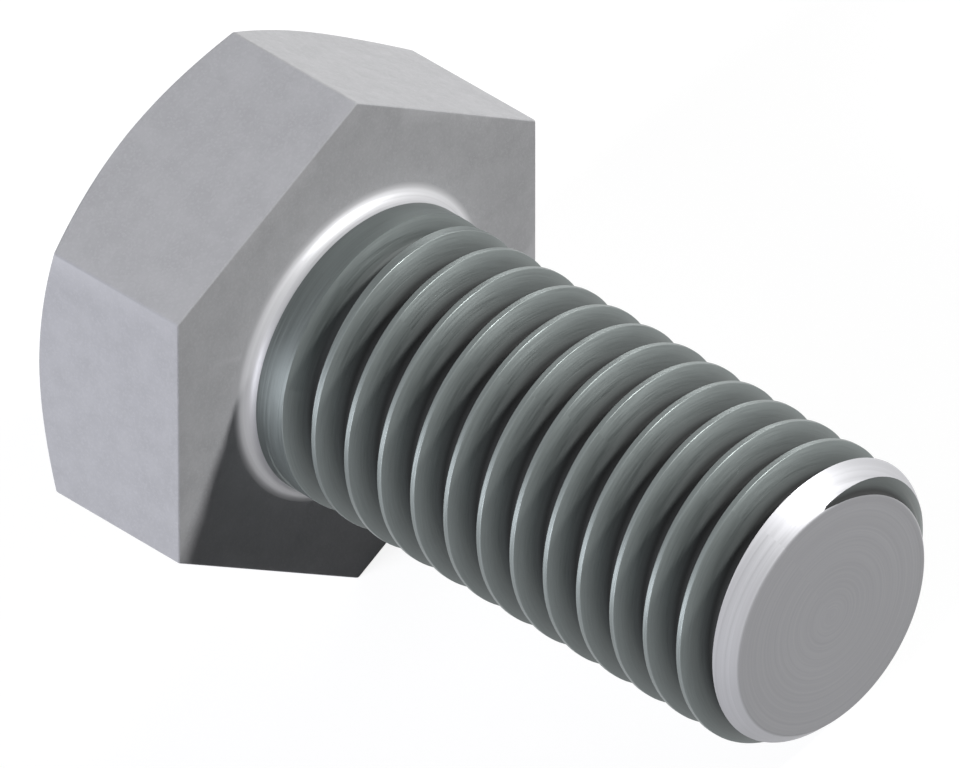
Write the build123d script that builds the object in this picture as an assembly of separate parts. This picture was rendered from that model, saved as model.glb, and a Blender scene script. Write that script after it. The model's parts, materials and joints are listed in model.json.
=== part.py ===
from build123d import *
from math import atan, ceil, cos, degrees, radians, sin, sqrt, tan
import os

# Hex head screw, threaded along its whole shank. Lengths are in millimetres, angles in degrees.
# It is drawn upright first: its axis is Z, the bearing face under the head is at zero, the head
# lies below that and the tip points up. At the end it is laid on its side, as it comes to rest.

# Thread, right-handed. The flank angle is between a flank and a plane across the axis.
thread_diameter = 12.0
thread_pitch = 1.75
flank_angle = 30.0

# Shank, from the bearing face to the tip
shank_length = 25.0
underhead_fillet = 0.6
fillet_bands = 3
point_angle = 45.0

# Head. Its top corners are turned off by a shallow dome, whose slope is the chamfer angle halfway
# from the round edge of the top face to a corner. The inset is from a flat to that edge.
across_flats = 19.0
head_height = 7.5
head_chamfer_angle = 30.0
head_top_inset = 0.05

# Ends of the thread. It fades out over the run-out, just past the fillet. At the tip, the last
# whole crest meets the chamfer at an angle counted from the flat that the head lies on.
runout_turns = 1.0
runout_gap = 0.15
last_crest_angle = 70.0

# The basic section of a metric thread, in shares of the pitch and of the sharp triangle that its
# flanks would make if they met
sharp_height = thread_pitch / 2 / tan(radians(flank_angle))
crest_flat = thread_pitch / 8
root_flat = thread_pitch / 4
thread_depth = sharp_height * 5 / 8
crest_radius = thread_diameter / 2
minor_radius = crest_radius - thread_depth

# The point is chamfered down to just below the bottom of the thread
point_depth = sharp_height * 17 / 24
point_edge = shank_length - point_depth / tan(radians(point_angle))

# The groove's solid reaches a little beyond the crests, so that it cuts them cleanly
cut_margin = crest_flat / 4
cut_radius = crest_radius + cut_margin / tan(radians(flank_angle))
cut_half_width = (thread_pitch - crest_flat) / 2 + cut_margin


# Corners of the groove's section, each as a radius and a place along the axis
section = [
    (minor_radius, -root_flat / 2),
    (minor_radius, root_flat / 2),
    (cut_radius, cut_half_width),
    (cut_radius, -cut_half_width),
]

# Places along the groove are counted in turns from where it fades out under the head
fade_height = underhead_fillet + runout_gap + root_flat / 2
tip_turns = (point_edge + (thread_pitch - crest_flat) / 2 - fade_height) / thread_pitch
last_turn = (shank_length + cut_half_width + cut_margin - fade_height) / thread_pitch
fade_angle = last_crest_angle - 360 * tip_turns


def corner_line(corner, start, turns, rise):
    """A corner's helix over some turns. With a rise it starts that much further out, on a cone."""
    radius, offset = corner
    climb = thread_pitch * turns
    taper = atan(rise / climb)
    helix = Helix(thread_pitch / cos(taper), climb, radius + rise, cone_angle=-degrees(taper))
    height = fade_height + thread_pitch * start + offset
    return Pos(0, 0, height) * Rot(0, 0, fade_angle + 360 * start) * helix


def groove_wall(start, turns, rise=0):
    """The groove's faces over some turns, ruled from each corner's line to the next."""
    lines = [corner_line(corner, start, turns, rise) for corner in section]
    following = lines[1:] + lines[:1]
    return [Face.make_surface_from_curves(near, far) for near, far in zip(lines, following)]


def groove_end(turns, rise=0):
    """The flat face that closes the groove's solid at one end."""
    angle = radians(fade_angle + 360 * turns)
    height = fade_height + thread_pitch * turns
    points = []
    for radius, offset in section:
        out = radius + rise
        points.append((out * cos(angle), out * sin(angle), height + offset))
    return Face(Wire.make_polygon(points, close=True))


def make_groove():
    """The helical groove as one solid, from its run-out under the head to beyond the tip."""
    rise = thread_depth + cut_margin
    faces = [groove_end(0, rise)]
    faces += groove_wall(0, runout_turns, rise)
    full_turns = ceil(last_turn - runout_turns)
    for turn in range(full_turns):
        faces += groove_wall(runout_turns + turn, 1)
    faces.append(groove_end(runout_turns + full_turns))
    return Solid(Shell(faces))


def make_head():
    """A hexagonal prism whose top corners are turned off by a shallow dome."""
    hexagon = RegularPolygon(across_flats / 2, 6, major_radius=False, rotation=30)
    prism = extrude(hexagon, -head_height)
    top_radius = across_flats / 2 - head_top_inset
    corner_radius = across_flats / sqrt(3)
    dome_radius = (top_radius + corner_radius) / 2 / sin(radians(head_chamfer_angle))
    dome_centre = sqrt(dome_radius ** 2 - top_radius ** 2) - head_height
    return prism & Pos(0, 0, dome_centre) * Sphere(dome_radius)


def fillet_outline():
    """Points on the fillet's arc, from the bearing face to the shank, each as radius and height."""
    points = []
    for band in range(fillet_bands + 1):
        turn = radians(90 * band / fillet_bands)
        out = crest_radius + underhead_fillet * (1 - sin(turn))
        points.append((out, underhead_fillet * (1 - cos(turn))))
    return points


def make_shank():
    """The turned blank: a fillet under the head, a plain shank and a chamfered point."""
    outline = Polyline(
        (0, 0),
        *fillet_outline(),
        (crest_radius, point_edge),
        (crest_radius - point_depth, shank_length),
        (0, shank_length),
        close=True,
    )
    return revolve(Plane.XZ * make_face(outline), Axis.Z)


def lay_down(screw):
    """Turn the screw onto a flat of its head and the last whole crest near its tip."""
    contact = point_edge - thread_pitch * last_crest_angle / 360
    dip = degrees(atan((across_flats / 2 - crest_radius) / contact))
    lying = Rot(0, 90 + dip, 0) * screw
    box = lying.bounding_box()
    return Pos(-box.center().X, -box.center().Y, -box.min.Z) * lying


screw = make_head() + make_shank() - make_groove()

os.makedirs("parts", exist_ok=True)
export_step(lay_down(screw), "parts/hex_head_screw.step")
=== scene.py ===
import json
from math import atan2, ceil, cos, pi, radians, sin, sqrt, tan

import bmesh
import bpy
from mathutils import Matrix, Vector


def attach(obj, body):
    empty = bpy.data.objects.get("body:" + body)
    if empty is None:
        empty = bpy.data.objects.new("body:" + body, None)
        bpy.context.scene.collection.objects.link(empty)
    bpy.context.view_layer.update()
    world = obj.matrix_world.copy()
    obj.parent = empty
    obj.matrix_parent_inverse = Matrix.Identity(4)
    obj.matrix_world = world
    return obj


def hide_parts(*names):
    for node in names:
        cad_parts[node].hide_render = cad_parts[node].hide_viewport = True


bl_info = {
    "name": "Hex head screw",
    "version": (1, 0, 0),
    "blender": (4, 5, 0),
    "location": "View3D > Sidebar > Screw",
    "description": "Makes a hex head screw: turned blank, milled flats, broken edges, rolled thread",
    "category": "Add Mesh",
}

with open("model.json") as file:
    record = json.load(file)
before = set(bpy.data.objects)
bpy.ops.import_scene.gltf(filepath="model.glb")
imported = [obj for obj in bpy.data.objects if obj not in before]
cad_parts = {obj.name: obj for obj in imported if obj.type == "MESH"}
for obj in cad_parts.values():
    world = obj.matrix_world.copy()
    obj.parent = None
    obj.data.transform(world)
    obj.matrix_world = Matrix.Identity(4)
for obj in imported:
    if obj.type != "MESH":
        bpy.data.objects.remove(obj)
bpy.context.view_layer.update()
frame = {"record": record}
MOUNTS = {mount["name"]: mount for mount in frame["record"]["mounts"]}

# The screw is made upright in millimetres: bearing face at zero, head below it, tip pointing up.
# A flat of the head faces along X. At the end it is brought to metres and laid in its place.
MILLIMETRE = 0.001
MILLIMETRES_PER_METRE = 1000
STEPS_PER_TURN = 120
FLATS = 6

# Slope of the chamfer that turns off the head's top corners, and how far inside the flats its
# round edge lies
HEAD_CHAMFER = radians(30)
HEAD_TOP_INSET = 0.05

# How steeply a flank of the thread leans from the axis, in degrees, and the radius of the crests'
# rounded edges
FLANK_LEAN = 60
CREST_ROUNDING = 0.05

# Plain length between the fillet and the thread's run-out, and where the last whole crest meets
# the point's chamfer, counted from the flat that the head lies on
RUNOUT_GAP = 0.15
LAST_CREST_ANGLE = radians(70)

# Vertices this close are merged. Measures this close count as equal, or as near one another.
MERGED = 0.0005
EQUAL = 0.002
NEAR = 0.01

# The photo, in millimetres: the width that it shows, and its middle from the bearing face's centre.
# The camera's distance is in metres.
PICTURE_WIDTH = 36.145
PICTURE_RIGHT = 4.588
PICTURE_DOWN = 1.586
CAMERA_DISTANCE = 1.25

# A Mix node's sockets for colours: the second colour's share, the two colours and the mixed one
MIX_SHARE, MIX_FIRST, MIX_SECOND = 0, 6, 7
MIX_RESULT = 2


def linear(hex_colour):
    """An sRGB colour such as #a0a0a0 as linear red, green and blue."""
    shares = [int(hex_colour[start:start + 2], 16) / 255 for start in (1, 3, 5)]
    return [share / 12.92 if share <= 0.04045 else ((share + 0.055) / 1.055) ** 2.4
            for share in shares]


def length_property(name, description, default):
    """A length in metres, shown to a hundredth of a millimetre."""
    return bpy.props.FloatProperty(name=name, description=description, default=default,
                                   unit="LENGTH", precision=5)


def colour_property(name, description, hex_colour):
    """A colour that is written as sRGB hex."""
    return bpy.props.FloatVectorProperty(name=name, description=description, subtype="COLOR",
                                         size=3, min=0, max=1, default=linear(hex_colour))


def power_property(name, description, default):
    """The power of a lamp in watts."""
    return bpy.props.FloatProperty(name=name, description=description, default=default, min=0,
                                   unit="POWER")


class ScrewSizes(bpy.types.PropertyGroup):
    """Sizes of the screw, as a drawing gives them."""
    thread_diameter: length_property("Thread diameter", "Diameter over the thread's crests", 0.012)
    pitch: length_property("Pitch", "Distance from one crest of the thread to the next", 0.00175)
    shank_length: length_property("Shank length", "From the bearing face to the tip", 0.025)
    across_flats: length_property("Across flats", "Width of the head between flats", 0.019)
    head_height: length_property("Head height", "From the bearing face to the head's top", 0.0075)
    underhead_fillet: length_property("Fillet", "Radius between shank and bearing face", 0.0006)
    broken_edge: length_property("Broken edge", "How far the head's edges are rounded", 0.00009)


class ScrewColours(bpy.types.PropertyGroup):
    """Colours of the steel."""
    head_steel: colour_property("Head", "Zinc flake coat of the head", "#a6a6a8")
    thread_steel: colour_property("Thread", "Darker steel of the rolled thread", "#696f6e")
    point_steel: colour_property("Point", "Bare steel of the turned point", "#b4b4b7")
    # The fillet's light colour is partly bright rolled steel and partly a painted highlight
    fillet_steel: colour_property("Fillet", "Steel of the fillet, rolled bright", "#c8c8ca")


class StudioLook(bpy.types.PropertyGroup):
    """Light and floor of the studio."""
    key_watts: power_property("Key lamp", "Power of the key lamp", 2.16)
    fill_watts: power_property("Fill lamp", "Power of the cool lamp on the left", 3.0)
    back_watts: power_property("Back lamp", "Power of the low lamp behind", 0.9)
    world_light: bpy.props.FloatProperty(name="World light", description="Light from all round",
                                         default=0.02, min=0)
    floor_glow: bpy.props.FloatProperty(name="Floor glow", default=0.86, min=0,
                                        description="How white the floor shows to the camera")
    floor: colour_property("Floor", "Colour of the floor's paper", "#787878")
    floor_return: bpy.props.FloatProperty(name="Floor's return", default=0.4, min=0, max=1,
                                          description="Share of its light that the screw gets back")


class Screw:
    """The screw's sizes in millimetres, and what follows from them."""

    def __init__(self, sizes):
        self.crest = sizes.thread_diameter / 2 * MILLIMETRES_PER_METRE
        self.pitch = sizes.pitch * MILLIMETRES_PER_METRE
        self.length = sizes.shank_length * MILLIMETRES_PER_METRE
        self.flat = sizes.across_flats / 2 * MILLIMETRES_PER_METRE
        self.head = sizes.head_height * MILLIMETRES_PER_METRE
        self.fillet = sizes.underhead_fillet * MILLIMETRES_PER_METRE
        self.edge = sizes.broken_edge * MILLIMETRES_PER_METRE
        self.corner = self.flat / cos(pi / FLATS)
        self.top = self.flat - HEAD_TOP_INSET
        # The thread's section comes from the sharp triangle, with three equal sides, that its
        # flanks would make. Crests are an eighth of the pitch wide, and the basic root a quarter.
        # Its depth is that of a rolled thread, whose root is an arc.
        sharp = self.pitch * sqrt(3) / 2
        self.half_groove = (self.pitch - self.pitch / 8) / 2
        self.basic_root_flat = self.pitch / 4
        self.depth = sharp * 17 / 24
        self.root = self.crest - self.depth
        self.root_arc = sharp / 6
        # The point is chamfered at 45 degrees to the bottom of the thread
        self.point = self.length - self.depth


def alone(piece):
    """Makes a piece the only selected and the active one."""
    bpy.ops.object.select_all(action="DESELECT")
    piece.select_set(True)
    bpy.context.view_layer.objects.active = piece


def draw_outline(name, points, closed=False):
    """A chain of edges in the XZ plane, drawn by extruding one vertex from point to point."""
    bpy.ops.object.select_all(action="DESELECT")
    bpy.ops.mesh.primitive_plane_add(size=1)
    piece = bpy.context.object
    piece.name = name
    bpy.ops.object.mode_set(mode="EDIT")
    bpy.ops.mesh.select_mode(type="VERT")
    bpy.ops.mesh.select_all(action="SELECT")
    bpy.ops.mesh.merge(type="CENTER")
    bpy.ops.transform.translate(value=(points[0][0], 0, points[0][1]))
    for near, far in zip(points, points[1:]):
        move = (far[0] - near[0], 0, far[1] - near[1])
        bpy.ops.mesh.extrude_vertices_move(TRANSFORM_OT_translate={"value": move})
    if closed:
        mesh = bmesh.from_edit_mesh(piece.data)
        for vertex in mesh.verts:
            vertex.select = len(vertex.link_edges) == 1
        bmesh.update_edit_mesh(piece.data)
        bpy.ops.mesh.edge_face_add()
    bpy.ops.object.mode_set(mode="OBJECT")
    return piece


def close_seams(piece):
    """Merges doubled vertices and turns all faces outwards."""
    alone(piece)
    bpy.ops.object.mode_set(mode="EDIT")
    bpy.ops.mesh.select_all(action="SELECT")
    bpy.ops.mesh.remove_doubles(threshold=MERGED)
    bpy.ops.mesh.dissolve_degenerate(threshold=MERGED)
    bpy.ops.mesh.normals_make_consistent(inside=False)
    bpy.ops.object.mode_set(mode="OBJECT")


def flat_direction(number):
    """The direction that a flat of the head faces."""
    angle = 2 * pi * number / FLATS
    return Vector((cos(angle), sin(angle), 0))


def chamfer_height(screw, radius):
    """Height of the head's top chamfer at a distance from the axis."""
    return (radius - screw.top) * tan(HEAD_CHAMFER) - screw.head


def turn_blank(screw):
    """Head and shank in one, turned on a lathe: an outline spun round the axis."""
    # The round head keeps some steel outside its corners for the milling. Spare rings inside the
    # edges of the flat faces keep their shading even.
    rim = screw.corner + 0.4
    top_ring = screw.top - 0.4
    bearing_ring = screw.flat - 0.6
    outline = [(radius, -screw.head) for radius in (0, screw.top / 2, top_ring, screw.top)]
    outline += [(rim, chamfer_height(screw, rim)), (rim, 0), (bearing_ring, 0)]
    fillet_steps = 8
    for step in range(fillet_steps + 1):
        turn = radians(90 * step / fillet_steps)
        outline.append((screw.crest + screw.fillet * (1 - sin(turn)),
                        screw.fillet * (1 - cos(turn))))
    chamfer_steps = 4
    for step in range(chamfer_steps + 1):
        inwards = screw.depth * step / chamfer_steps
        outline.append((screw.crest - inwards, screw.point + inwards))
    outline += [(screw.root / 2, screw.length), (0, screw.length)]
    blank = draw_outline("hex_head_screw_body", outline)
    bpy.ops.object.mode_set(mode="EDIT")
    bpy.ops.mesh.select_all(action="SELECT")
    bpy.ops.mesh.spin(steps=STEPS_PER_TURN, angle=2 * pi, center=(0, 0, 0), axis=(0, 0, 1))
    bpy.ops.object.mode_set(mode="OBJECT")
    close_seams(blank)
    return blank


def mill_flats(blank, screw):
    """Cuts the round head to its six flats."""
    alone(blank)
    bpy.ops.object.mode_set(mode="EDIT")
    for number in range(FLATS):
        out = flat_direction(number)
        bpy.ops.mesh.select_all(action="SELECT")
        bpy.ops.mesh.bisect(plane_co=out * screw.flat, plane_no=out, use_fill=True,
                            clear_outer=True)
    bpy.ops.object.mode_set(mode="OBJECT")


def beyond_flat(screw, place):
    """How much further out the hexagon's outline lies, in the direction of a place, than at the
    middle of a flat."""
    sector = 2 * pi / FLATS
    turned = (place.xy.angle_signed(Vector((1, 0))) + sector / 2) % sector - sector / 2
    return screw.flat / cos(turned) - screw.flat


def flats_along(screw, near, far):
    """How many flats an edge lies in."""
    count = 0
    for number in range(FLATS):
        out = flat_direction(number)
        on_flat = abs(((near + far) / 2).dot(out) - screw.flat) < EQUAL
        if on_flat and abs((far - near).dot(out)) < EQUAL:
            count += 1
    return count


def broken_share(screw, near, far):
    """The share of the full rounding that an edge gets: all of it at the head's corners and round
    the bearing face, some at the point, and none at edges within a face. The chamfer's edges get
    little where it nearly meets a flat, and more for each millimetre towards a corner."""
    chamfer_least, chamfer_growth = 0.22, 1.6
    top_least, top_growth = 0.18, 1.2
    point_share, tip_share = 0.5, 0.8
    middle = (near + far) / 2
    radius = middle.xy.length
    inner = min(near.xy.length, far.xy.length)
    level = abs(near.z - far.z) < EQUAL
    flats = flats_along(screw, near, far)
    if flats == 2 and abs(near.z - far.z) > NEAR:
        return 1.0
    if flats == 1 and level and abs(middle.z) < EQUAL:
        return 1.0
    if flats == 1 and abs(middle.z - chamfer_height(screw, radius)) < NEAR:
        return min(1.0, chamfer_least + chamfer_growth * (radius - screw.flat))
    if abs(middle.z + screw.head) < EQUAL and inner > screw.top - NEAR and radius < screw.top + NEAR:
        return min(1.0, top_least + top_growth * beyond_flat(screw, middle))
    if level and abs(middle.z - screw.point) < EQUAL:
        return point_share
    if abs(middle.z - screw.length) < EQUAL and inner > screw.root - NEAR:
        return tip_share
    return 0.0


def break_edges(blank, screw):
    """Rounds the head's and the point's edges, each by its share."""
    mesh = blank.data
    shares = mesh.attributes.new("bevel_weight_edge", "FLOAT", "EDGE")
    places = [vertex.co for vertex in mesh.vertices]
    for edge in mesh.edges:
        near, far = (places[index] for index in edge.vertices)
        shares.data[edge.index].value = broken_share(screw, near, far)
    alone(blank)
    bevel = blank.modifiers.new("broken edges", "BEVEL")
    bevel.limit_method = "WEIGHT"
    bevel.width = screw.edge
    bevel.segments = 3
    bevel.use_clamp_overlap = False
    bpy.ops.object.modifier_apply(modifier=bevel.name)


def groove_section(screw):
    """Outline of the groove, from its middle at height zero: round root, straight flanks and a
    little flare where the crests are rounded."""
    side = []
    root_steps = 3
    for step in range(root_steps + 1):
        turn = radians(FLANK_LEAN * step / root_steps)
        side.append((screw.root + screw.root_arc * (1 - cos(turn)), screw.root_arc * sin(turn)))
    steep = radians(FLANK_LEAN)
    # The rounded edge starts this far down the flank: its radius times the tangent of 30 degrees
    reach = CREST_ROUNDING / sqrt(3)
    flank_end = (screw.crest - reach * sin(steep), screw.half_groove - reach * cos(steep))
    for swing in (0, radians(20), radians(40)):
        # Along a circle that leaves the flank and bends towards the crest
        side.append((flank_end[0] + CREST_ROUNDING * (cos(steep - swing) - cos(steep)),
                     flank_end[1] + CREST_ROUNDING * (sin(steep) - sin(steep - swing))))
    # The flare leaves the crest at a low slope. Outside the steel the section widens, to just
    # under half a pitch, so that neighbouring turns don't touch.
    above_crest, flare = 0.003, 0.022
    outside, widest = 0.35, 0.49 * screw.pitch
    side.append((screw.crest + above_crest, side[-1][1] + flare))
    side.append((screw.crest + outside, widest))
    below = [(radius, -height) for radius, height in side[:0:-1]]
    return below + side


def coil_section(groove, screw, turns):
    """Coils the groove's section up the shank."""
    coil = groove.modifiers.new("coil", "SCREW")
    coil.angle = 2 * pi * turns
    coil.screw_offset = screw.pitch * turns
    coil.steps = STEPS_PER_TURN * turns
    coil.render_steps = coil.steps
    coil.use_smooth_shade = False
    bpy.ops.object.modifier_apply(modifier=coil.name)


def fade_out(groove, screw):
    """Moves the groove's first turn out of the steel, as the rolling dies leave it under the head,
    and closes both ends."""
    clearance = 0.06
    rise = screw.depth + clearance
    bpy.ops.object.mode_set(mode="EDIT")
    mesh = bmesh.from_edit_mesh(groove.data)
    for vertex in mesh.verts:
        turned = atan2(vertex.co.y, vertex.co.x) / (2 * pi)
        turn = turned + round(vertex.co.z / screw.pitch - turned)
        if turn < 1:
            out = vertex.co.xy.normalized() * rise * (1 - turn)
            vertex.co.x += out.x
            vertex.co.y += out.y
    bmesh.update_edit_mesh(groove.data)
    bpy.ops.mesh.select_mode(type="EDGE")
    bpy.ops.mesh.select_all(action="DESELECT")
    bpy.ops.mesh.select_non_manifold()
    bpy.ops.mesh.edge_face_add()
    bpy.ops.mesh.select_all(action="SELECT")
    bpy.ops.mesh.normals_make_consistent(inside=False)
    bpy.ops.object.mode_set(mode="OBJECT")


def make_groove(screw):
    """The path of the rolling dies as a solid, from its run-out under the head to beyond the tip."""
    start_height = screw.fillet + RUNOUT_GAP + screw.basic_root_flat / 2
    turns_to_tip = (screw.point + screw.half_groove - start_height) / screw.pitch
    start_angle = LAST_CREST_ANGLE - 2 * pi * turns_to_tip
    groove = draw_outline("groove", groove_section(screw), closed=True)
    coil_section(groove, screw, ceil((screw.length + screw.pitch - start_height) / screw.pitch))
    fade_out(groove, screw)
    # It starts on one of the blank's own steps, so that the groove's corners meet the blank's
    step = 2 * pi / STEPS_PER_TURN
    slide = round(start_angle / step) * step - start_angle
    groove.rotation_euler.z = start_angle + slide
    groove.location.z = start_height + screw.pitch * slide / (2 * pi)
    bpy.ops.object.transform_apply(location=True, rotation=True, scale=False)
    return groove


def roll_thread(blank, groove):
    """Takes the groove out of the shank. Its faces keep the groove's own material, which comes
    second on the blank, and its border is sharp."""
    alone(blank)
    cut = blank.modifiers.new("thread", "BOOLEAN")
    cut.operation = "DIFFERENCE"
    cut.solver = "EXACT"
    cut.material_mode = "TRANSFER"
    cut.object = groove
    bpy.ops.object.modifier_apply(modifier=cut.name)
    bpy.data.objects.remove(groove)
    close_seams(blank)
    bpy.ops.object.mode_set(mode="EDIT")
    bpy.ops.mesh.select_mode(type="FACE")
    bpy.ops.mesh.select_all(action="DESELECT")
    blank.active_material_index = 1
    bpy.ops.object.material_slot_select()
    bpy.ops.mesh.region_to_loop()
    bpy.ops.mesh.mark_sharp()
    bpy.ops.object.mode_set(mode="OBJECT")


def screw_axis():
    """The thread mount's axis, from head to tip, as a unit vector."""
    return Vector(MOUNTS["thread"]["axis"]).normalized()


def bearing_centre():
    """The middle of the bearing face, where the thread mount's length starts."""
    thread = MOUNTS["thread"]
    return Vector(thread["pos_m"]) - screw_axis() * thread["dims"]["length_mm"] * MILLIMETRE


def upright_turn():
    """The turn that takes the upright screw to its place."""
    return Vector((0, 0, 1)).rotation_difference(screw_axis())


def add_node(tree, kind, inputs=None, **settings):
    """Adds a node with its settings. Inputs are values, or sockets of other nodes to link from."""
    node = tree.nodes.new(kind)
    for name, value in settings.items():
        setattr(node, name, value)
    for name, value in (inputs or {}).items():
        if isinstance(value, bpy.types.NodeSocket):
            tree.links.new(value, node.inputs[name])
        else:
            node.inputs[name].default_value = value
    return node


def start_material(name):
    """A new material without nodes, and its node tree."""
    material = bpy.data.materials.new(name)
    material.use_nodes = True
    material.node_tree.nodes.clear()
    return material, material.node_tree


def upright_millimetres(tree):
    """Object coordinates, turned back to the upright screw and in millimetres."""
    place = add_node(tree, "ShaderNodeTexCoord").outputs["Object"]
    return add_node(tree, "ShaderNodeMapping", {
        "Vector": place,
        "Location": bearing_centre(),
        "Rotation": upright_turn().to_euler(),
        "Scale": (MILLIMETRE, MILLIMETRE, MILLIMETRE),
    }, vector_type="TEXTURE").outputs["Vector"]


def round_the_axis(tree):
    """Distance from the axis and height in millimetres as sockets, and the three coordinates of a
    pattern that is drawn round the axis: distance, angle and height."""
    split = add_node(tree, "ShaderNodeSeparateXYZ", {"Vector": upright_millimetres(tree)}).outputs
    angle = add_node(tree, "ShaderNodeMath", {0: split["Y"], 1: split["X"]}, operation="ARCTAN2")
    flat = add_node(tree, "ShaderNodeCombineXYZ", {"X": split["X"], "Y": split["Y"]})
    radius = add_node(tree, "ShaderNodeVectorMath", {0: flat.outputs["Vector"]},
                      operation="LENGTH").outputs["Value"]
    ringed = add_node(tree, "ShaderNodeCombineXYZ", {
        "X": radius, "Y": angle.outputs["Value"], "Z": split["Z"]}).outputs["Vector"]
    return radius, split["Z"], ringed


def shades(colour, *factors):
    """Darker and lighter versions of a colour."""
    return [[min(1, factor * share) for share in colour] + [1] for factor in factors]


def dip_spun_steel(colour):
    """Cold-forged steel, dipped and spun in a thin zinc flake coat: an even, nearly matt light grey
    with a fine grain, rubbed a little brighter along its edges."""
    material, tree = start_material("dip_spun_zinc_steel")
    place = upright_millimetres(tree)
    # Faint clouds of about 1 mm where the coat is thinner
    clouds = add_node(tree, "ShaderNodeTexNoise", {
        "Vector": place, "Scale": 0.9, "Detail": 4.0, "Roughness": 0.6}).outputs["Fac"]
    # Forging grain of about 0.3 mm under the coat
    grain = add_node(tree, "ShaderNodeTexNoise", {
        "Vector": place, "Scale": 3.0, "Detail": 3.0, "Roughness": 0.6}).outputs["Fac"]
    # Zinc flakes are a few hundredths of a millimetre; drawn at 0.08 mm, so that they show
    flakes = add_node(tree, "ShaderNodeTexVoronoi", {"Vector": place, "Scale": 12.0})
    fleck = add_node(tree, "ShaderNodeSeparateColor", {
        "Color": flakes.outputs["Color"]}).outputs["Red"]
    edge = add_node(tree, "ShaderNodeNewGeometry").outputs["Pointiness"]
    rubbed = add_node(tree, "ShaderNodeMapRange", {
        "Value": edge, "From Min": 0.52, "From Max": 0.62, "To Max": 0.5}).outputs["Result"]
    dull, pale, flecked, worn = shades(colour, 0.95, 1.04, 1.16, 1.3)
    spread = add_node(tree, "ShaderNodeMapRange", {
        "Value": clouds, "From Min": 0.35, "From Max": 0.65}).outputs["Result"]
    coat = add_node(tree, "ShaderNodeMix", {
        MIX_SHARE: spread, MIX_FIRST: dull, MIX_SECOND: pale},
        data_type="RGBA").outputs[MIX_RESULT]
    few = add_node(tree, "ShaderNodeMapRange", {
        "Value": fleck, "From Min": 0.55, "To Max": 0.4}).outputs["Result"]
    speckled = add_node(tree, "ShaderNodeMix", {
        MIX_SHARE: few, MIX_FIRST: coat, MIX_SECOND: flecked},
        data_type="RGBA").outputs[MIX_RESULT]
    colours = add_node(tree, "ShaderNodeMix", {
        MIX_SHARE: rubbed, MIX_FIRST: speckled, MIX_SECOND: worn},
        data_type="RGBA").outputs[MIX_RESULT]
    rough = add_node(tree, "ShaderNodeMapRange", {
        "Value": grain, "From Min": 0.3, "From Max": 0.7, "To Min": 0.42,
        "To Max": 0.58}).outputs["Result"]
    forged = add_node(tree, "ShaderNodeBump", {
        "Height": grain, "Strength": 0.5, "Distance": 0.02 * MILLIMETRE}).outputs["Normal"]
    coated = add_node(tree, "ShaderNodeBump", {
        "Height": fleck, "Strength": 0.25, "Distance": 0.01 * MILLIMETRE,
        "Normal": forged}).outputs["Normal"]
    # The coat's binder lies over the flakes, so the light that comes back is scattered
    steel = add_node(tree, "ShaderNodeBsdfPrincipled", {
        "Base Color": colours, "Metallic": 0.0, "Specular IOR Level": 0.1, "Roughness": rough,
        "Normal": coated})
    add_node(tree, "ShaderNodeOutputMaterial", {"Surface": steel.outputs["BSDF"]})
    return material


def rolled_thread_steel(colour, screw):
    """Thread rolled between dies and left with its oil: dark grey, smooth, with fine streaks along
    the groove. Its colour is painted darker from the crests to the root as painted shade, nearly
    black in the root, where oily dirt also lies and is matt; the crests are rubbed paler, which is
    partly a painted highlight."""
    material, tree = start_material("rolled_thread_steel")
    radius, _, ringed = round_the_axis(tree)
    # Streaks are 0.07 mm wide and several millimetres long
    drawn = add_node(tree, "ShaderNodeMapping", {"Vector": ringed, "Scale": (14, 1.2, 14)})
    streaks = add_node(tree, "ShaderNodeTexNoise", {
        "Vector": drawn.outputs["Vector"], "Scale": 1.0, "Detail": 3.0,
        "Roughness": 0.6}).outputs["Fac"]
    # Painted shade and painted highlight: the colour runs from nearly black in the root, partly oily
    # dirt, through the flanks to pale crests, partly wear
    grime_and_root_shade, low, middle, crest = shades(colour, 0.05, 0.5, 0.88, 1.45)
    rise = add_node(tree, "ShaderNodeMapRange", {
        "Value": radius, "From Min": screw.root, "From Max": screw.crest}).outputs["Result"]
    blend = add_node(tree, "ShaderNodeValToRGB", {"Fac": rise})
    ramp = blend.color_ramp
    ramp.elements[0].color = grime_and_root_shade
    ramp.elements[1].color = crest
    for share, shade in ((0.08, grime_and_root_shade), (0.25, low), (0.6, middle)):
        ramp.elements.new(share).color = shade
    dark, pale = shades((1, 1, 1), 0.6, 1.0)
    tone = add_node(tree, "ShaderNodeMix", {
        MIX_SHARE: streaks, MIX_FIRST: dark, MIX_SECOND: pale},
        data_type="RGBA").outputs[MIX_RESULT]
    colours = add_node(tree, "ShaderNodeMix", {
        MIX_SHARE: 1.0, MIX_FIRST: blend.outputs["Color"], MIX_SECOND: tone},
        data_type="RGBA", blend_type="MULTIPLY").outputs[MIX_RESULT]
    clean = add_node(tree, "ShaderNodeMapRange", {
        "Value": rise, "From Min": 0.1, "From Max": 0.45}).outputs["Result"]
    metal = add_node(tree, "ShaderNodeMath", {0: clean, 1: 0.6},
                     operation="MULTIPLY").outputs["Value"]
    smooth = add_node(tree, "ShaderNodeMapRange", {
        "Value": streaks, "From Min": 0.3, "From Max": 0.7, "To Min": 0.34,
        "To Max": 0.5}).outputs["Result"]
    rough = add_node(tree, "ShaderNodeMix", {
        "Factor": clean, "A": 0.85, "B": smooth}).outputs["Result"]
    drag = add_node(tree, "ShaderNodeBump", {
        "Height": streaks, "Strength": 0.5, "Distance": 0.01 * MILLIMETRE}).outputs["Normal"]
    steel = add_node(tree, "ShaderNodeBsdfPrincipled", {
        "Base Color": colours, "Metallic": metal, "Roughness": rough, "Normal": drag})
    add_node(tree, "ShaderNodeOutputMaterial", {"Surface": steel.outputs["BSDF"]})
    return material


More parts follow.
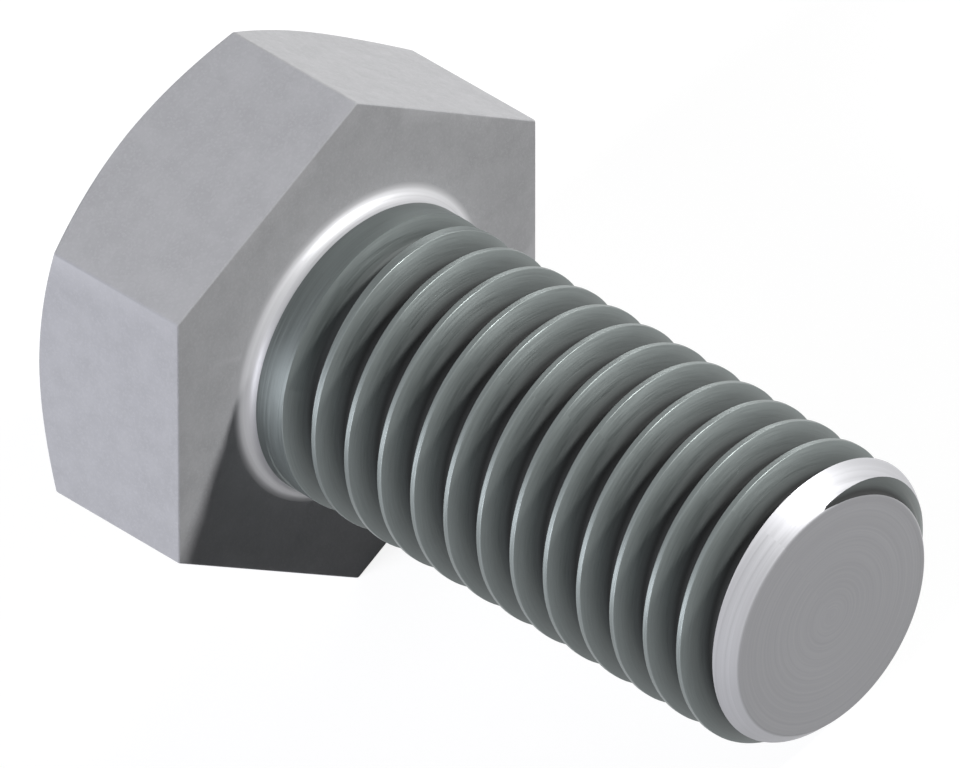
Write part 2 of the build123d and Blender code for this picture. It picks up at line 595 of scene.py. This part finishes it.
def bright_steel(name, colour, coat, screw):
    """Bare steel that was turned or rolled bright, with fine rings round the axis: the point's
    chamfer and the fillet under the head. The face at the end, where the bar was cut off, is
    duller and painted darker as painted shade. Across the fillet the colour goes over softly from
    the head's coat to bright steel, partly a painted highlight."""
    material, tree = start_material(name)
    radius, height, ringed = round_the_axis(tree)
    # The tool's rings are 0.05 mm apart; drawn at about 0.1 mm, so that they show
    drawn = add_node(tree, "ShaderNodeMapping", {"Vector": ringed, "Scale": (10, 0.25, 10)})
    rings = add_node(tree, "ShaderNodeTexNoise", {
        "Vector": drawn.outputs["Vector"], "Scale": 1.0, "Detail": 2.0,
        "Roughness": 0.5}).outputs["Fac"]
    dark, pale = shades(colour, 0.82, 1.2)
    turned = add_node(tree, "ShaderNodeMix", {
        MIX_SHARE: rings, MIX_FIRST: dark, MIX_SECOND: pale},
        data_type="RGBA").outputs[MIX_RESULT]
    # Painted shade: the face at the end is painted darker than the chamfer, besides being duller
    # cut-off steel
    dulled_and_painted_shade = add_node(tree, "ShaderNodeMapRange", {
        "Value": height, "From Min": screw.length - 0.06, "From Max": screw.length - 0.01,
        "To Min": 1.0, "To Max": 0.65}).outputs["Result"]
    steels = add_node(tree, "ShaderNodeMix", {
        MIX_SHARE: 1.0, MIX_FIRST: turned, MIX_SECOND: dulled_and_painted_shade},
        data_type="RGBA", blend_type="MULTIPLY").outputs[MIX_RESULT]
    # Painted highlight: across the fillet the colour goes from the head's coat at its outer edge to
    # bright steel towards the shank, partly where the coat ends
    bare_and_painted_highlight = add_node(tree, "ShaderNodeMapRange", {
        "Value": radius, "From Min": screw.crest + screw.fillet,
        "From Max": screw.crest + 0.4 * screw.fillet},
        interpolation_type="SMOOTHSTEP").outputs["Result"]
    colours = add_node(tree, "ShaderNodeMix", {
        MIX_SHARE: bare_and_painted_highlight, MIX_FIRST: coat + [1], MIX_SECOND: steels},
        data_type="RGBA").outputs[MIX_RESULT]
    metal = add_node(tree, "ShaderNodeMath", {0: bare_and_painted_highlight, 1: 0.5},
                     operation="MULTIPLY").outputs["Value"]
    rough = add_node(tree, "ShaderNodeMapRange", {
        "Value": rings, "From Min": 0.3, "From Max": 0.7, "To Min": 0.42,
        "To Max": 0.56}).outputs["Result"]
    grooved = add_node(tree, "ShaderNodeBump", {
        "Height": rings, "Strength": 0.35, "Distance": 0.01 * MILLIMETRE}).outputs["Normal"]
    steel = add_node(tree, "ShaderNodeBsdfPrincipled", {
        "Base Color": colours, "Metallic": metal, "Roughness": rough, "Normal": grooved})
    add_node(tree, "ShaderNodeOutputMaterial", {"Surface": steel.outputs["BSDF"]})
    return material


def share_out_materials(piece, screw, thread_steel, point_steel, fillet_steel):
    """The crests take the thread's material, and the turned point and the fillet their own."""
    materials = piece.data.materials
    materials.append(point_steel)
    materials.append(fillet_steel)
    thread, point, fillet = (materials.find(steel.name)
                             for steel in (thread_steel, point_steel, fillet_steel))
    # Each limit leaves a little room for the broken edges
    point_start = screw.point - 0.04
    shank_start, shank_surface = screw.fillet + 0.02, screw.crest - 0.1
    fillet_start = 0.005
    for face in piece.data.polygons:
        if face.material_index == thread:
            continue
        if face.center.z > point_start:
            face.material_index = point
        elif face.center.z > shank_start and face.center.xy.length > shank_surface:
            face.material_index = thread
        elif face.center.z > fillet_start:
            face.material_index = fillet


def lay_down(piece):
    """Brings the upright screw to metres and to its place in the frame."""
    alone(piece)
    piece.rotation_mode = "QUATERNION"
    piece.rotation_quaternion = upright_turn()
    piece.location = bearing_centre()
    piece.scale = (MILLIMETRE, MILLIMETRE, MILLIMETRE)
    bpy.ops.object.transform_apply(location=True, rotation=True, scale=True)
    sharp_from = radians(24)
    bpy.ops.object.shade_smooth_by_angle(angle=sharp_from)
    even = piece.modifiers.new("even shading", "WEIGHTED_NORMAL")
    even.keep_sharp = True
    bpy.ops.object.modifier_apply(modifier=even.name)


class OBJECT_OT_hex_head_screw(bpy.types.Operator):
    """Makes the screw: turned blank, milled flats, broken edges and rolled thread"""
    bl_idname = "object.hex_head_screw"
    bl_label = "Hex head screw"

    def execute(self, context):
        colours = context.scene.screw_colours
        screw = Screw(context.scene.screw_sizes)
        coat = list(colours.head_steel)
        steel = dip_spun_steel(coat)
        thread_steel = rolled_thread_steel(list(colours.thread_steel), screw)
        point_steel = bright_steel("turned_point_steel", list(colours.point_steel), coat, screw)
        fillet_steel = bright_steel("rolled_fillet_steel", list(colours.fillet_steel), coat, screw)
        blank = turn_blank(screw)
        mill_flats(blank, screw)
        break_edges(blank, screw)
        blank.data.materials.append(steel)
        groove = make_groove(screw)
        groove.data.materials.append(thread_steel)
        roll_thread(blank, groove)
        share_out_materials(blank, screw, thread_steel, point_steel, fillet_steel)
        lay_down(blank)
        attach(blank, "root")
        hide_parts("hex_head_screw")
        return {"FINISHED"}


def aim(piece, place, target, up):
    """Puts a lamp or the camera at a place, looking at a target."""
    back = (place - target).normalized()
    side = up.cross(back).normalized()
    over = back.cross(side)
    turn = Matrix((side, over, back)).transposed()
    piece.matrix_world = Matrix.Translation(place) @ turn.to_4x4()


def soft_lamp(name, direction, distance, size, watts, colour):
    """A round studio lamp that shines on the screw from a direction."""
    bpy.ops.object.light_add(type="AREA")
    lamp = bpy.context.object
    lamp.name = name
    lamp.data.shape = "DISK"
    lamp.data.size = size
    lamp.data.energy = watts
    lamp.data.color = colour
    screw_middle = Vector((0, 0, 0.008))
    place = screw_middle + Vector(direction).normalized() * distance
    aim(lamp, place, screw_middle, Vector((0, 0, 1)))


def seen_rays(tree):
    """One for rays from the camera, straight or by reflection, and zero for light on its way."""
    rays = add_node(tree, "ShaderNodeLightPath").outputs
    shown = add_node(tree, "ShaderNodeMath", {0: rays["Is Camera Ray"], 1: rays["Is Glossy Ray"]},
                     operation="MAXIMUM")
    return shown.outputs["Value"]


def backdrop_paper(look):
    """Matt paper, lit by its own glow where the camera sees it, so that it shows white and keeps
    the screw's shadow. The screw gets back only a share of the light that falls on it, so that the
    screw's shaded side stays dark."""
    material, tree = start_material("matt_backdrop_paper")
    shade, full = shades(list(look.floor), look.floor_return, 1.0)
    colour = add_node(tree, "ShaderNodeMix", {
        MIX_SHARE: seen_rays(tree), MIX_FIRST: shade, MIX_SECOND: full},
        data_type="RGBA").outputs[MIX_RESULT]
    paper = add_node(tree, "ShaderNodeBsdfPrincipled", {"Base Color": colour, "Roughness": 0.9})
    glow = add_node(tree, "ShaderNodeMath", {0: seen_rays(tree), 1: look.floor_glow},
                    operation="MULTIPLY")
    light = add_node(tree, "ShaderNodeEmission", {"Strength": glow.outputs["Value"]})
    both = add_node(tree, "ShaderNodeAddShader", {
        0: paper.outputs["BSDF"], 1: light.outputs["Emission"]})
    add_node(tree, "ShaderNodeOutputMaterial", {"Surface": both.outputs["Shader"]})
    return material


def lay_floor(look):
    """The floor that the screw lies on."""
    bpy.ops.object.select_all(action="DESELECT")
    bpy.ops.mesh.primitive_plane_add(size=1.2)
    floor = bpy.context.object
    floor.name = "floor"
    floor.data.materials.append(backdrop_paper(look))


def white_world(look):
    """Surroundings that show white and shine only faintly."""
    world = bpy.data.worlds.new("studio")
    world.use_nodes = True
    tree = world.node_tree
    tree.nodes.clear()
    white = add_node(tree, "ShaderNodeMix", {
        "A": look.world_light, "B": 1.0, "Factor": seen_rays(tree)}).outputs["Result"]
    sky = add_node(tree, "ShaderNodeBackground", {"Color": (1, 1, 1, 1), "Strength": white})
    add_node(tree, "ShaderNodeOutputWorld", {"Surface": sky.outputs["Background"]})
    return world


def place_camera():
    """A long lens with the photo's isometric view: it looks along the diagonal of a cube that has
    the screw's axis as an edge, with the head turned against the cube by half the angle between
    its flats."""
    turn = upright_turn().to_matrix() @ Matrix.Rotation(-pi / FLATS, 3, "Z")
    right = turn @ Vector((0, 1, 1)).normalized()
    up = turn @ Vector((-2, 1, -1)).normalized()
    towards = right.cross(up)
    target = bearing_centre() + (right * PICTURE_RIGHT - up * PICTURE_DOWN) * MILLIMETRE
    bpy.ops.object.camera_add()
    camera = bpy.context.object
    camera.data.sensor_width = 36
    camera.data.lens = camera.data.sensor_width * CAMERA_DISTANCE / (PICTURE_WIDTH * MILLIMETRE)
    camera.data.clip_start = 0.1
    camera.data.clip_end = 10
    aim(camera, target + towards * CAMERA_DISTANCE, target, up)
    return camera


class SCENE_OT_studio(bpy.types.Operator):
    """Makes the pale floor, the white surroundings, the soft lamps and the camera"""
    bl_idname = "scene.screw_studio"
    bl_label = "Studio"

    def execute(self, context):
        scene = context.scene
        look = scene.studio_look
        lay_floor(look)
        scene.world = white_world(look)
        white, cool = (1, 1, 1), (0.92, 0.93, 1.0)
        # Each lamp's direction from the screw, and its distance and width in metres
        soft_lamp("key", (0.606, 0.686, 0.402), 0.45, 0.05, look.key_watts, white)
        soft_lamp("fill", (-0.15, -0.87, 0.47), 0.5, 0.3, look.fill_watts, cool)
        soft_lamp("back", (-0.3, 0.95, 0.15), 0.5, 0.2, look.back_watts, white)
        scene.camera = place_camera()
        scene.view_settings.view_transform = "Standard"
        return {"FINISHED"}


class VIEW3D_PT_screw(bpy.types.Panel):
    """Lists the screw's sizes and the steps that make it"""
    bl_label = "Hex head screw"
    bl_space_type = "VIEW_3D"
    bl_region_type = "UI"
    bl_category = "Screw"

    def draw(self, context):
        scene = context.scene
        for group in (scene.screw_sizes, scene.screw_colours, scene.studio_look):
            for name in group.bl_rna.properties.keys():
                if name not in ("rna_type", "name"):
                    self.layout.prop(group, name)
        self.layout.operator("object.hex_head_screw")
        self.layout.operator("scene.screw_studio")


CLASSES = (ScrewSizes, ScrewColours, StudioLook, OBJECT_OT_hex_head_screw, SCENE_OT_studio,
           VIEW3D_PT_screw)


def register():
    for kind in CLASSES:
        bpy.utils.register_class(kind)
    bpy.types.Scene.screw_sizes = bpy.props.PointerProperty(type=ScrewSizes)
    bpy.types.Scene.screw_colours = bpy.props.PointerProperty(type=ScrewColours)
    bpy.types.Scene.studio_look = bpy.props.PointerProperty(type=StudioLook)


def unregister():
    del bpy.types.Scene.studio_look
    del bpy.types.Scene.screw_colours
    del bpy.types.Scene.screw_sizes
    for kind in reversed(CLASSES):
        bpy.utils.unregister_class(kind)


def main():
    register()
    bpy.ops.object.hex_head_screw()
    bpy.ops.scene.screw_studio()


if __name__ == "__main__":
    main()
